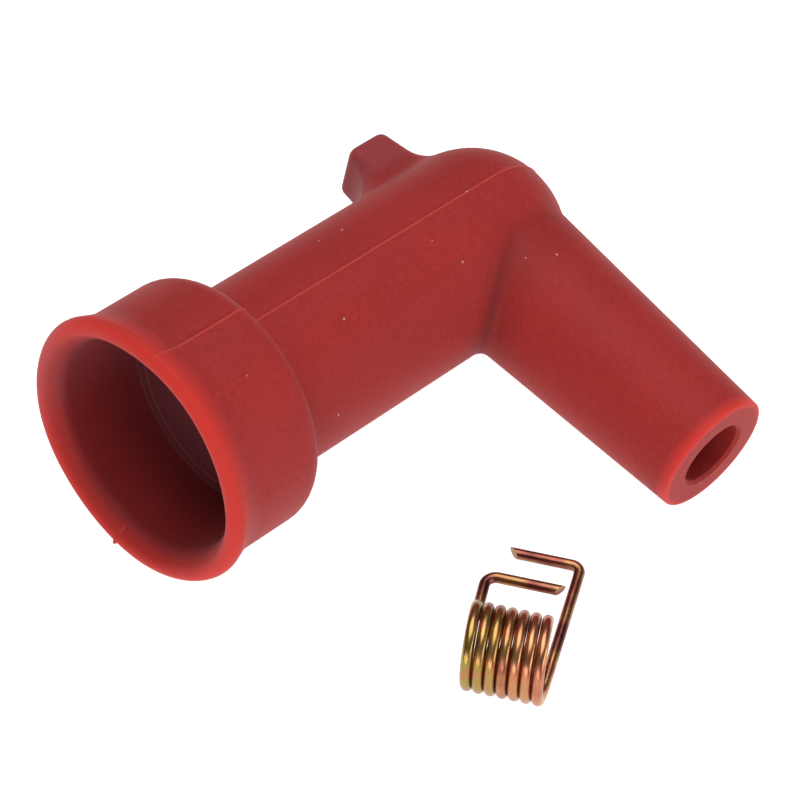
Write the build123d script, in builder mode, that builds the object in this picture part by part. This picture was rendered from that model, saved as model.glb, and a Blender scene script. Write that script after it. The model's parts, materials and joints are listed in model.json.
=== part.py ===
from build123d import *
from math import asin, atan2, cos, hypot, pi, radians, sin, sqrt, tan
import os

# Spark plug cap for a small petrol engine, with its contact spring laid beside it.
#
# The cap is one moulding of silicone rubber: a straight barrel that stands over the plug's
# insulator, a fatter collar that shrouds the plug's steel shell, a tapered sleeve at a right
# angle that grips the ignition lead, and a pull tab opposite the sleeve. The contact is one
# piece of wire, a close-wound coil that grips the plug's terminal and two legs whose sharpened
# ends pierce the lead. Both pieces lie on Z = 0, as they come out of the bag.

# ---- boot: outside, measured from the point where the barrel and sleeve axes cross
barrel_d = 17.7          # tube over the plug's insulator
mouth_reach = 43.0       # axes' crossing to the front of the lip
dome_depth = 8.4         # axes' crossing to the outside of the closed end, a half ball
collar_d = 24.1          # shroud over the plug's steel shell
collar_length = 12.0     # front of the lip back to the shoulder
shoulder_round = 2.5     # round on the collar's rear corner
lip_d = 25.7             # bead round the mouth
lip_round = 0.9          # section radius of the bead
flank_length = 3.3       # front of the lip back to where its flank leaves the collar
flank_round = 5.0        # eases the flank into the collar
crease_round = 1.2       # fillet where the sleeve meets the barrel
elbow_angle = 88.5       # degrees between the barrel and the sleeve
sleeve_reach = 31.15     # axes' crossing to the end of the sleeve
sleeve_root_d = 15.0     # sleeve diameter on the barrel's axis
sleeve_end_d = 12.0
sleeve_edge_round = 0.3
tab_height = 4.95        # barrel's side to the end of the pull tab
tab_width = 5.9          # along the mould's draw
tab_front = 4.0          # tab's face towards the mouth, at its end
tab_thickness = 4.7      # at its end
tab_draft = 6.0          # degrees that each face leans out towards the root
tab_corner = 1.0         # round on the tab's long edges
tab_round = 0.9          # and at its end
tab_root_round = 4.5     # blend round the tab's foot

# ---- boot: inside
shell_bore_d = 20.7      # mouth, over the plug's steel shell
shell_bore_depth = 9.9   # front of the lip back to the step
funnel_depth = 1.6       # front of the lip back to the edge of the mouth
funnel_round = 1.2
insulator_bore_d = 10.0  # grips the plug's insulator
pocket_clearance = 0.5   # on the coil's outer diameter, where the coil sits
spring_pocket_top = 9.0  # axes' crossing to the pocket's open end
end_wall = 3.6           # rubber behind the pocket, on the axis
lead_bore_d = 6.5        # grips a 7 mm ignition lead
lead_entry_chamfer = 0.3

# ---- contact spring
wire_d = 1.0
coil_mean_d = 6.9
coil_pitch = 1.04
coil_turns = 6.75        # full turns between the two legs
long_leg = 13.5          # coil's axis to the centre of the end wire, square to the coil
short_leg = 8.45
long_leg_tip = 6.55      # end wires, along the coil
short_leg_tip = 6.95
long_leg_bend = 0.8      # bend radii, to the wire's centre
short_leg_bend = 1.1
root_bend = 0.6          # where the short leg turns out of the coil
root_drop = 0.9          # coil's axis down to the short leg
tip_angle = 50.0         # degrees between the wire and its sharpened face
spring_ahead = 29.2      # coil centre from the axes' crossing, towards the mouth
spring_aside = 32.6      # and along the sleeve
spring_heading = -58.0   # degrees, the coil's axis on the floor

barrel_r = barrel_d / 2
collar_r = collar_d / 2
lip_r = lip_d / 2
shell_bore_r = shell_bore_d / 2
sleeve_end_r = sleeve_end_d / 2
tab_reach = barrel_r + tab_height
spring_pocket_d = coil_mean_d + wire_d + pocket_clearance
dome_centre = barrel_r - dome_depth
shoulder = mouth_reach - collar_length
step = mouth_reach - shell_bore_depth

# The boot lies on three points: the lip, the elbow and the rim of the sleeve's end. The
# barrel's axis climbs towards the mouth and the sleeve's axis drops towards its end.
bead_ahead = mouth_reach - lip_round
bead_aside = lip_r - lip_round
barrel_climb = (atan2(bead_aside, bead_ahead)
                - asin((barrel_r - lip_round) / hypot(bead_ahead, bead_aside)))
sleeve_drop = (asin(barrel_r / hypot(sleeve_reach, sleeve_end_r))
               - atan2(sleeve_end_r, sleeve_reach))
barrel_axis = Vector(-cos(barrel_climb), 0, sin(barrel_climb))
sleeve_x = -(cos(radians(elbow_angle)) + sin(barrel_climb) * sin(sleeve_drop)) / cos(barrel_climb)
sleeve_y = -sqrt(1 - sleeve_x**2 - sin(sleeve_drop)**2)
sleeve_axis = Vector(sleeve_x, sleeve_y, -sin(sleeve_drop))
draw = barrel_axis.cross(sleeve_axis)

# In the boot's own plane, X runs to the mouth. In the sleeve's, Y runs to the sleeve's end.
elbow = Vector(0, 0, barrel_r)
boot_plane = Plane(origin=elbow, x_dir=barrel_axis, z_dir=draw)
sleeve_plane = Plane(origin=elbow, x_dir=sleeve_axis.cross(draw), z_dir=draw)
barrel_line = Axis(elbow, barrel_axis)
sleeve_line = Axis(elbow, sleeve_axis)
tab_line = Axis(elbow, -boot_plane.y_dir)

# The outside is three half sections turned about the barrel's axis.
with BuildPart() as elbow_boot:
    with BuildSketch(boot_plane):
        with BuildLine():
            CenterArc((dome_centre, 0), barrel_r, 90, 90)
            Polyline((-dome_depth, 0), (step, 0), (step, barrel_r), (dome_centre, barrel_r))
        make_face()
    revolve(axis=barrel_line)
    with BuildSketch(boot_plane):
        with BuildLine():
            Line((shoulder, 0), (shoulder, collar_r - shoulder_round))
            CenterArc((shoulder + shoulder_round, collar_r - shoulder_round), shoulder_round, 90, 90)
            Polyline((shoulder + shoulder_round, collar_r), (mouth_reach - flank_length, collar_r),
                     (mouth_reach - flank_length, 0), (shoulder, 0))
        make_face()
    revolve(axis=barrel_line)
    with BuildSketch(boot_plane):
        with BuildLine():
            CenterArc((bead_ahead, bead_aside), lip_round, 0, 360)
            Line((mouth_reach - flank_length, shell_bore_r), (mouth_reach - flank_length, collar_r))
            Line((mouth_reach - flank_length, shell_bore_r), (mouth_reach - funnel_depth, shell_bore_r))
        make_hull()
    revolve(axis=barrel_line)
    lip_edges = elbow_boot.edges(Select.LAST).filter_by(GeomType.CIRCLE)
    fillet(lip_edges.filter_by(lambda edge: abs(edge.radius - collar_r) < 0.001), flank_round)

    # The sleeve leaves the elbow close to a right angle and tapers to its end.
    with BuildSketch(sleeve_plane):
        with BuildLine():
            Polyline((0, 0), (-sleeve_root_d / 2, 0), (-sleeve_end_r, sleeve_reach), (0, sleeve_reach),
                     close=True)
        make_face()
    revolve(axis=sleeve_line)
    crease = elbow_boot.edges(Select.LAST).filter_by(GeomType.BSPLINE)
    fillet(crease, crease_round)
    sleeve_rim = elbow_boot.edges().filter_by(GeomType.CIRCLE).sort_by(sleeve_line)[-1]
    fillet(sleeve_rim, sleeve_edge_round)

    # The pull tab stands opposite the sleeve, its faces leaning out towards the root.
    tab_plane = Plane(origin=elbow + tab_line.direction * tab_reach, x_dir=barrel_axis,
                      z_dir=-tab_line.direction)
    with BuildSketch(tab_plane):
        with Locations((tab_front - tab_thickness / 2, 0)):
            RectangleRounded(tab_thickness, tab_width, tab_corner)
    extrude(amount=tab_reach - barrel_r / 2, taper=-tab_draft)
    tab_end = elbow_boot.faces().sort_by(tab_line)[-1]
    tab_foot = elbow_boot.edges(Select.LAST).filter_by_position(tab_line, 0.8 * barrel_r, barrel_r)
    fillet(tab_foot, tab_root_round)
    fillet(tab_end.edges(), tab_round)

    # Inside, the mouth's bore steps down to the insulator's and then to the coil's pocket.
    with BuildSketch(boot_plane):
        with BuildLine():
            Polyline((end_wall - dome_depth, 0), (end_wall - dome_depth, spring_pocket_d / 2),
                     (spring_pocket_top, spring_pocket_d / 2), (spring_pocket_top, insulator_bore_d / 2),
                     (step, insulator_bore_d / 2), (step, shell_bore_r), (mouth_reach, shell_bore_r),
                     (mouth_reach, 0), close=True)
        make_face()
    revolve(axis=barrel_line, mode=Mode.SUBTRACT)
    mouth_edge = elbow_boot.edges(Select.LAST).filter_by(GeomType.CIRCLE).sort_by(barrel_line)[-1]
    fillet(mouth_edge, funnel_round)
    with BuildSketch(sleeve_plane):
        with BuildLine():
            Polyline((0, 0), (-lead_bore_d / 2, 0), (-lead_bore_d / 2, sleeve_reach - lead_entry_chamfer),
                     (-lead_bore_d / 2 - lead_entry_chamfer, sleeve_reach), (0, sleeve_reach), close=True)
        make_face()
    revolve(axis=sleeve_line, mode=Mode.SUBTRACT)

# The contact is one length of wire, drawn about the coil's axis as Z, the legs along X.
wire_r = wire_d / 2
coil_r = coil_mean_d / 2
coil_length = coil_pitch * coil_turns
lead_slope = coil_pitch / (pi * coil_mean_d)
short_root = Vector(coil_r, -root_drop, -root_drop * lead_slope)
short_corner = Vector(short_leg, -root_drop, short_root.Z)
short_tip = short_corner + Vector(0, 0, short_leg_tip)
long_corner = Vector(long_leg, -coil_r, coil_length + long_leg * lead_slope)
long_tip = long_corner - Vector(0, 0, long_leg_tip)
with BuildPart() as wire:
    with BuildLine() as wire_path:
        FilletPolyline(short_tip, short_corner, short_root, (coil_r, 0, 0),
                       radius=[short_leg_bend, root_bend])
        Helix(coil_pitch, coil_length, coil_r)
        FilletPolyline((0, -coil_r, coil_length), long_corner, long_tip, radius=long_leg_bend)
    with BuildSketch(Plane(origin=short_tip, z_dir=(0, 0, -1))):
        Circle(wire_r)
    sweep(path=wire_path.line)

    # Each end is cut off at a slant, with its point on the side away from the coil.
    slant = Vector(-cos(radians(tip_angle)), 0, sin(radians(tip_angle)))
    for tip, face in ((short_tip, slant), (long_tip, Vector(slant.X, 0, -slant.Z))):
        with Locations(Plane(origin=tip + Vector(wire_r, 0, 0), z_dir=face)):
            Box(4 * wire_d, 4 * wire_d, 4 * wire_d, mode=Mode.SUBTRACT,
                align=(Align.CENTER, Align.CENTER, Align.MIN))

# The coil rests on the floor with its long leg flat behind it.
heading = Vector(cos(radians(spring_heading)), sin(radians(spring_heading)), 0)
coil_centre = Vector(-spring_ahead, -spring_aside, coil_r + wire_r)
coil_plane = Plane(origin=coil_centre - heading * coil_length / 2,
                   x_dir=Vector(0, 0, 1).cross(heading), z_dir=heading)
contact_spring = coil_plane.location * wire.part

# Both already rest on Z = 0; the origin goes under the middle of the pair's box.
pair_box = Compound([elbow_boot.part, contact_spring]).bounding_box()
centring = Location((-pair_box.center().X, -pair_box.center().Y, 0))
os.makedirs("parts", exist_ok=True)
for name, piece in (("elbow_boot", elbow_boot.part), ("contact_spring", contact_spring)):
    placed = centring * piece
    placed.label = name
    export_step(placed, f"parts/{name}.step")
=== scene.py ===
import bpy
import bmesh
import json
from math import atan2, hypot, radians, sin
from mathutils import Matrix, Vector
from mathutils.geometry import intersect_line_line


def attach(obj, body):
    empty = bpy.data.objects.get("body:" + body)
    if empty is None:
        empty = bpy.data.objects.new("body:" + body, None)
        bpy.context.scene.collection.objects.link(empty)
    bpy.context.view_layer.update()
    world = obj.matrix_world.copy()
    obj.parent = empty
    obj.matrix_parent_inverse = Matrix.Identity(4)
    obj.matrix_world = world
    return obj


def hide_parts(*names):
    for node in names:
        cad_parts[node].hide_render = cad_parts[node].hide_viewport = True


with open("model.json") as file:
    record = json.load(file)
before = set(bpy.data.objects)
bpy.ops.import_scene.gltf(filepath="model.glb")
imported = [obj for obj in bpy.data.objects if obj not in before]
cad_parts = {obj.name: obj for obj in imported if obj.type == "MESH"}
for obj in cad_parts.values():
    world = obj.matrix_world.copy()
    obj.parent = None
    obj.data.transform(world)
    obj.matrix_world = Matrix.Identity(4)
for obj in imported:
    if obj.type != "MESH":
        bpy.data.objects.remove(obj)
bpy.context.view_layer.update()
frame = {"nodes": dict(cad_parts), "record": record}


# ---- Rubber boot: one moulding of red silicone. Its barrel stands over the plug's insulator,
# the collar shrouds the plug's steel shell, the sleeve grips the ignition lead, and the tab is
# what a mechanic pulls. The mould parts along the barrel, which leaves a thin line of flash.
mounts = {mount["name"]: mount for mount in frame["record"]["mounts"]}
barrel_point, to_mouth = (Vector(mounts["insulator_bore"][key]) for key in ("pos_m", "axis"))
sleeve_point, to_lead = (Vector(mounts["lead_bore"][key]) for key in ("pos_m", "axis"))
elbow = intersect_line_line(barrel_point, barrel_point + to_mouth, sleeve_point, sleeve_point + to_lead)[0]
upward = to_mouth.cross(to_lead).normalized()
square = upward.cross(to_mouth)

# Seen from the elbow, X runs to the mouth and Z up through the flash. Along the sleeve Y runs
# to the sleeve's end, and along the barrel it is square to the barrel.
along_barrel = Matrix((to_mouth, square, upward))
along_sleeve = Matrix((to_lead.cross(upward), to_lead, upward))
barrel_radius = 0.00885
collar_radius = 0.01205
sleeve_root_radius = 0.00750
sleeve_end_radius = 0.00600
mouth_bore_radius = mounts["shell_bore"]["dims"]["r_mm"] / 1000
shoulder_at = 0.0310
step_at = 0.0331
mouth_at = 0.0430
sleeve_end_at = 0.03115

boot_mesh = frame["nodes"]["elbow_boot"].data.copy()
boot_mesh.name = "rubber_boot"
boot = bpy.data.objects.new("rubber_boot", boot_mesh)
bpy.context.scene.collection.objects.link(boot)
bm = bmesh.new()
bm.from_mesh(boot_mesh)
weld_gap = 0.000002
sharpest_round = radians(28)
bmesh.ops.remove_doubles(bm, verts=bm.verts, dist=weld_gap)
for face in bm.faces:
    face.smooth = True
for edge in bm.edges:
    if len(edge.link_faces) == 2:
        edge.smooth = edge.calc_face_angle(0.0) < sharpest_round


def cut_through(bm, point, normal):
    bmesh.ops.bisect_plane(bm, geom=bm.verts[:] + bm.edges[:] + bm.faces[:], dist=0.0000005,
                           plane_co=point, plane_no=normal)


# Rings are cut close to the lip, so that it can wander as thin rubber does.
first_ring_at = 0.0385
ring_gap = 0.0004
for ring in range(12):
    cut_through(bm, elbow + to_mouth * (first_ring_at + ring_gap * ring), to_mouth)

# The flash is a fine ridge where the two halves of the mould met. It stands higher in a nub at
# the collar's corner, and there is a small spike on the front of the lip, at its lowest point.
flash_height = 0.00007
flash_half_width = 0.00010
nub_at = shoulder_at + 0.0012
nub_half_length = 0.0011
nub_height = 3.2 * flash_height
spike_length = 0.0003
for offset in (-1.0, -0.35, 0.35, 1.0):
    cut_through(bm, elbow + square * offset * flash_half_width, square)

wander_from = mouth_at - 0.0042
for vert in bm.verts:
    ahead, aside, above = along_barrel @ (vert.co - elbow)
    reach = hypot(aside, above)
    on_flash = abs(aside) < flash_half_width * 0.5
    if ahead < 0:
        outside = hypot(reach, ahead) > barrel_radius - 0.00085
    elif ahead < shoulder_at - 0.0001:
        outside = reach > barrel_radius - 0.00025
    else:
        outside = reach > collar_radius - 0.00085
    if on_flash and outside and ahead < mouth_at - 0.0006:
        away = (along_barrel.transposed() @ Vector((min(ahead, 0), aside, above))).normalized()
        vert.co += away * (nub_height if abs(ahead - nub_at) < nub_half_length else flash_height)
    if ahead > wander_from:
        ease = min(1.0, (ahead - wander_from) / 0.003)
        around = atan2(above, aside)
        wander = 0.00011 * sin(2 * around + 0.6) + 0.00007 * sin(5 * around + 2.0)
        away = (along_barrel.transposed() @ Vector((0, aside, above))).normalized()
        vert.co += away * wander * ease
    if on_flash and above < 0.00045 - collar_radius and ahead > mouth_at - 0.0002:
        vert.co += to_mouth * spike_length
bm.to_mesh(boot_mesh)
bm.free()
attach(boot, "boot")
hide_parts("elbow_boot")


class Finish:
    """A material, and the ways in which its nodes are laid down."""

    def __init__(self, name):
        self.material = bpy.data.materials.new(name)
        self.material.use_nodes = True
        self.nodes = self.material.node_tree.nodes
        self.shader = self.nodes["Principled BSDF"]
        self.place = self.nodes.new("ShaderNodeTexCoord").outputs["Object"]

    def feed(self, socket, value):
        """A number or a colour is set on the socket, and a node's output is linked to it."""
        if isinstance(value, bpy.types.NodeSocket):
            self.material.node_tree.links.new(value, socket)
        else:
            socket.default_value = value

    def noise(self, scale, detail, roughness=0.5):
        texture = self.nodes.new("ShaderNodeTexNoise")
        self.feed(texture.inputs["Vector"], self.place)
        self.feed(texture.inputs["Scale"], scale)
        self.feed(texture.inputs["Detail"], detail)
        self.feed(texture.inputs["Roughness"], roughness)
        return texture.outputs["Fac"]

    def ramp(self, value, stops):
        ramp = self.nodes.new("ShaderNodeValToRGB")
        marks = ramp.color_ramp.elements
        while len(marks) < len(stops):
            marks.new(0.5)
        for mark, (position, colour) in zip(marks, stops):
            mark.position = position
            mark.color = (*colour, 1)
        self.feed(ramp.inputs["Fac"], value)
        return ramp.outputs["Color"]

    def blend(self, amount, under, over):
        mix = self.nodes.new("ShaderNodeMix")
        mix.data_type = "RGBA"
        self.feed(mix.inputs[0], amount)
        self.feed(mix.inputs[6], under)
        self.feed(mix.inputs[7], over)
        return mix.outputs[2]

    def fade(self, value, start, end, low=0.0, high=1.0):
        """Low at the start, high at the end and beyond."""
        span = self.nodes.new("ShaderNodeMapRange")
        self.feed(span.inputs["Value"], value)
        self.feed(span.inputs["From Min"], start)
        self.feed(span.inputs["From Max"], end)
        self.feed(span.inputs["To Min"], low)
        self.feed(span.inputs["To Max"], high)
        return span.outputs["Result"]

    def math(self, operation, first, second):
        node = self.nodes.new("ShaderNodeMath")
        node.operation = operation
        self.feed(node.inputs[0], first)
        self.feed(node.inputs[1], second)
        return node.outputs[0]

    def all_of(self, first, *others):
        """The masks multiplied together."""
        mask = first
        for other in others:
            mask = self.math("MULTIPLY", mask, other)
        return mask

    def seen_from(self, centre, turn):
        """The place as measured from a centre, along the rows of turn."""
        mapping = self.nodes.new("ShaderNodeMapping")
        self.feed(mapping.inputs["Vector"], self.place)
        self.feed(mapping.inputs["Location"], -(turn @ centre))
        self.feed(mapping.inputs["Rotation"], turn.to_euler())
        return mapping.outputs["Vector"]

    def length(self, place, keep):
        """How far a place is from the centre, along the axes that keep names."""
        flat = self.nodes.new("ShaderNodeVectorMath")
        flat.operation = "MULTIPLY"
        self.feed(flat.inputs[0], place)
        self.feed(flat.inputs[1], keep)
        length = self.nodes.new("ShaderNodeVectorMath")
        length.operation = "LENGTH"
        self.feed(length.inputs[0], flat.outputs["Vector"])
        return length.outputs["Value"]

    def along(self, place, axis):
        split = self.nodes.new("ShaderNodeSeparateXYZ")
        self.feed(split.inputs["Vector"], place)
        return split.outputs[axis]


silicone = Finish("silicone")
cloudy = silicone.noise(90, 4)
grain = silicone.noise(2600, 3)
grainy = silicone.ramp(grain, [(0.3, (0.16, 0.01, 0.01)), (0.7, (0.42, 0.04, 0.035))])
red = silicone.ramp(cloudy, [(0.3, (0.27, 0.0135, 0.012)), (0.7, (0.315, 0.0165, 0.0145))])
red = silicone.blend(0.20, red, grainy)

in_barrel_frame = silicone.seen_from(elbow, along_barrel)
in_sleeve_frame = silicone.seen_from(elbow, along_sleeve)
ahead = silicone.along(in_barrel_frame, "X")
down_sleeve = silicone.along(in_sleeve_frame, "Y")
off_barrel = silicone.length(in_barrel_frame, (0, 1, 1))
off_sleeve = silicone.length(in_sleeve_frame, (1, 0, 1))
off_parting = silicone.length(in_barrel_frame, (0, 1, 0))

# The thin lip and the rim of the sleeve are painted a brighter red, a painted glow for light shining through
# the thin rubber.
lip_glow = silicone.all_of(silicone.fade(ahead, mouth_at - 0.0028, mouth_at - 0.0003),
                      silicone.fade(off_barrel, mouth_bore_radius + 0.00025, mouth_bore_radius + 0.00175))
red = silicone.blend(lip_glow, red, (0.50, 0.024, 0.017, 1))
rim_glow = silicone.all_of(silicone.fade(down_sleeve, sleeve_end_at - 0.00135, sleeve_end_at - 0.00015),
                      silicone.fade(off_sleeve, sleeve_end_radius - 0.0007, sleeve_end_radius - 0.0001))
red = silicone.blend(rim_glow, red, (0.55, 0.030, 0.024, 1))

# Painted shade makes the bores a deeper red, more so further in.
in_barrel = silicone.all_of(silicone.fade(ahead, 0.004, 0.006),
                            silicone.fade(off_barrel, barrel_radius - 0.00055, barrel_radius - 0.00085))
in_collar = silicone.all_of(silicone.fade(ahead, step_at - 0.0005, step_at - 0.0002),
                            silicone.fade(off_barrel, mouth_bore_radius + 0.00045,
                                          mouth_bore_radius + 0.00025))
inside = silicone.math("MAXIMUM", in_barrel, in_collar)
depth_shade = silicone.math("MAXIMUM", silicone.fade(ahead, mouth_at - 0.0015, step_at + 0.0014), 0.5)
red = silicone.blend(silicone.all_of(inside, depth_shade), red, (0.17, 0.015, 0.018, 1))

# Painted shade makes the step inside the mouth darker still. It has two fine rings on it.
step_face = silicone.all_of(in_collar, silicone.fade(ahead, step_at + 0.0003, step_at + 0.0001))
red = silicone.blend(silicone.all_of(step_face, 0.7), red, (0.045, 0.009, 0.012, 1))
ring_radius = 0.00925
turned_ring = silicone.all_of(silicone.fade(off_barrel, ring_radius - 0.00015, ring_radius - 0.00005),
                              silicone.fade(off_barrel, ring_radius + 0.00015, ring_radius + 0.00005))
step_corner = silicone.fade(off_barrel, mouth_bore_radius - 0.00017, mouth_bore_radius - 0.00007)
rings = silicone.all_of(silicone.math("MAXIMUM", turned_ring, step_corner), step_face, 0.6)
red = silicone.blend(rings, red, (0.22, 0.035, 0.037, 1))

# Painted shade darkens the crease where the sleeve leaves the barrel and its domed end, most of all in a
# narrow line along its inner corner. Its distance is taken from the barrel and the dome together.
behind = silicone.math("MINIMUM", ahead, 0.0)
off_body = silicone.math("ADD", silicone.all_of(behind, behind), silicone.all_of(off_barrel, off_barrel))
off_body = silicone.math("POWER", off_body, 0.5)
crease_shade = silicone.all_of(silicone.fade(off_body, barrel_radius + 0.00335, barrel_radius + 0.00015),
                         silicone.fade(off_sleeve, sleeve_root_radius + 0.0021, sleeve_root_radius + 0.0002),
                         silicone.fade(down_sleeve, 0.0030, 0.0075), 0.45)
red = silicone.blend(crease_shade, red, (0.15, 0.009, 0.008, 1))
fold_shade = silicone.all_of(silicone.fade(off_body, barrel_radius + 0.00065, barrel_radius + 0.00005),
                       silicone.fade(off_sleeve, sleeve_root_radius + 0.0006, sleeve_root_radius + 0.0001),
                       silicone.fade(down_sleeve, 0.0040, 0.0080), 0.4)
red = silicone.blend(fold_shade, red, (0.07, 0.007, 0.009, 1))

# A painted sheen makes the pull tab duller and greyer than the rest.
tab_sheen = silicone.all_of(silicone.fade(down_sleeve, -0.0085, -0.0105), 0.24)
red = silicone.blend(tab_sheen, red, (0.24, 0.10, 0.12, 1))

# The flash is paler than the rest.
outside = silicone.all_of(silicone.math("SUBTRACT", 1.0, inside),
                          silicone.fade(ahead, mouth_at - 0.0001, mouth_at - 0.0005))
flash = silicone.all_of(outside, silicone.fade(off_parting, 1.3 * flash_half_width, 0.5 * flash_half_width))
red = silicone.blend(flash, red, (0.42, 0.040, 0.034, 1))

# Dust lies on the outside as pale specks, in patches.
speckle = silicone.nodes.new("ShaderNodeTexVoronoi")
silicone.feed(speckle.inputs["Vector"], silicone.place)
silicone.feed(speckle.inputs["Scale"], 430)
dust = silicone.ramp(speckle.outputs["Distance"], [(0.03, (0.8, 0.8, 0.8)), (0.062, (0, 0, 0))])
sparse = silicone.ramp(silicone.noise(320, 1), [(0.50, (0, 0, 0)), (0.54, (1, 1, 1))])
red = silicone.blend(silicone.all_of(dust, sparse, outside), red, (0.55, 0.36, 0.30, 1))

skin = silicone.nodes.new("ShaderNodeBump")
silicone.feed(skin.inputs["Strength"], 0.22)
silicone.feed(skin.inputs["Distance"], 0.00004)
silicone.feed(skin.inputs["Height"], grain)
for socket, value in (
        ("Base Color", red), ("Roughness", silicone.fade(cloudy, 0.0, 1.0, 0.58, 0.74)),
        ("Normal", skin.outputs["Normal"]), ("Specular IOR Level", 0.20), ("Sheen Weight", 0.07),
        ("Sheen Roughness", 0.45), ("Sheen Tint", (1.0, 0.72, 0.72, 1)), ("Subsurface Weight", 0.10),
        ("Subsurface Radius", (1.0, 0.10, 0.06)), ("Subsurface Scale", 0.0012)):
    silicone.feed(silicone.shader.inputs[socket], value)
boot_mesh.materials.clear()
boot_mesh.materials.append(silicone.material)


# ---- Contact spring: one length of hard steel wire wound into a close coil that grips the
# plug's terminal. Its two legs end in sharpened points that pierce the lead. Zinc plated and
# passivated yellow, which leaves a thin film with colours like oil on water.
coil_centre, coil_axis = (Vector(mounts["terminal_grip"][key]) for key in ("pos_m", "axis"))
along_coil = Matrix((coil_axis, Vector((0, 0, 1)).cross(coil_axis), (0, 0, 1)))
coil_radius = 0.00395

plated_wire = Finish("plated_wire")
in_coil_frame = plated_wire.seen_from(coil_centre, along_coil)

# The film is olive and gold at one end of the coil and salmon at the other. The legs are maroon.
film = plated_wire.noise(420, 2, 0.4)
olive = plated_wire.ramp(film, [(0.30, (0.24, 0.09, 0.05)), (0.45, (0.37, 0.20, 0.06)),
                                (0.55, (0.31, 0.23, 0.055)), (0.70, (0.42, 0.16, 0.09))])
salmon = plated_wire.ramp(film, [(0.30, (0.27, 0.08, 0.055)), (0.48, (0.48, 0.19, 0.10)),
                                 (0.60, (0.46, 0.23, 0.09)), (0.72, (0.52, 0.21, 0.15))])
maroon = plated_wire.ramp(film, [(0.30, (0.11, 0.030, 0.028)), (0.48, (0.22, 0.070, 0.050)),
                                 (0.60, (0.30, 0.16, 0.06)), (0.72, (0.30, 0.09, 0.08))])
salmon_end = plated_wire.fade(plated_wire.along(in_coil_frame, "X"), -0.0025, 0.0015)
on_leg = plated_wire.fade(plated_wire.length(in_coil_frame, (0, 1, 1)), coil_radius, 1.12 * coil_radius)
plating = plated_wire.blend(on_leg, plated_wire.blend(salmon_end, olive, salmon), maroon)
wear = plated_wire.fade(plated_wire.noise(900, 3), 0.0, 1.0, 0.22, 0.38)
for socket, value in (("Base Color", plating), ("Metallic", 1.0), ("Roughness", wear)):
    plated_wire.feed(plated_wire.shader.inputs[socket], value)

spring = frame["nodes"]["contact_spring"]
spring.data.materials.clear()
spring.data.materials.append(plated_wire.material)


# ---- Studio: a white sheet that gives off light of its own, so that it stays white under the
# pieces. One large soft box hangs overhead, and two long low ones stand in front and to the right.
floor_mesh = bpy.data.meshes.new("floor")
bm = bmesh.new()
bmesh.ops.create_grid(bm, x_segments=1, y_segments=1, size=1.5)
bm.to_mesh(floor_mesh)
bm.free()
floor = bpy.data.objects.new("floor", floor_mesh)
bpy.context.scene.collection.objects.link(floor)
white_sheet = Finish("white_sheet")
for socket, value in (
        ("Base Color", (0.4, 0.4, 0.4, 1)), ("Roughness", 0.9), ("Specular IOR Level", 0.0),
        ("Emission Color", (1, 1, 1, 1)), ("Emission Strength", 0.95)):
    white_sheet.feed(white_sheet.shader.inputs[socket], value)
floor_mesh.materials.append(white_sheet.material)

studio = bpy.data.worlds.new("studio")
studio.use_nodes = True
studio.node_tree.nodes["Background"].inputs["Color"].default_value = (1, 1, 1, 1)
studio.node_tree.nodes["Background"].inputs["Strength"].default_value = 0.16
bpy.context.scene.world = studio
bpy.context.scene.view_settings.view_transform = "Standard"


def soft_box(name, place, width, depth_shade, power):
    lamp = bpy.data.lights.new(name, "AREA")
    lamp.shape = "RECTANGLE"
    lamp.size = width
    lamp.size_y = depth_shade
    lamp.energy = power
    holder = bpy.data.objects.new(name, lamp)
    holder.location = place
    holder.rotation_mode = "QUATERNION"
    holder.rotation_quaternion = Vector(place).to_track_quat("Z", "Y")
    bpy.context.scene.collection.objects.link(holder)


soft_box("overhead", (0.03, 0.06, 0.45), 0.44, 0.44, 2.1)
soft_box("low_front", (-0.43, -0.21, 0.13), 0.60, 0.14, 1.1)
soft_box("low_right", (0.20, -0.50, 0.14), 0.50, 0.14, 1.1)


# ---- Camera: held above the mouth's corner, looking down at the pair through a long lens. It
# is placed across from the elbow and up from the floor, and aimed by its own right and up.
lens = bpy.data.cameras.new("camera")
lens.sensor_width = 36.0
lens.lens = 152.65
lens.clip_start = 0.01
lens.clip_end = 10.0
camera = bpy.data.objects.new("camera", lens)
camera_right = Vector((0.7048, -0.7079, 0.0459))
camera_up = Vector((0.5172, 0.5571, 0.6497))
camera_back = camera_right.cross(camera_up).normalized()
camera_up = camera_back.cross(camera_right).normalized()
camera_right.normalize()
camera_turn = Matrix((camera_right, camera_up, camera_back)).transposed()
camera_place = Vector((elbow.x - 0.16555, elbow.y - 0.14015, 0.23807))
camera.matrix_world = Matrix.Translation(camera_place) @ camera_turn.to_4x4()
bpy.context.scene.collection.objects.link(camera)
bpy.context.scene.camera = camera
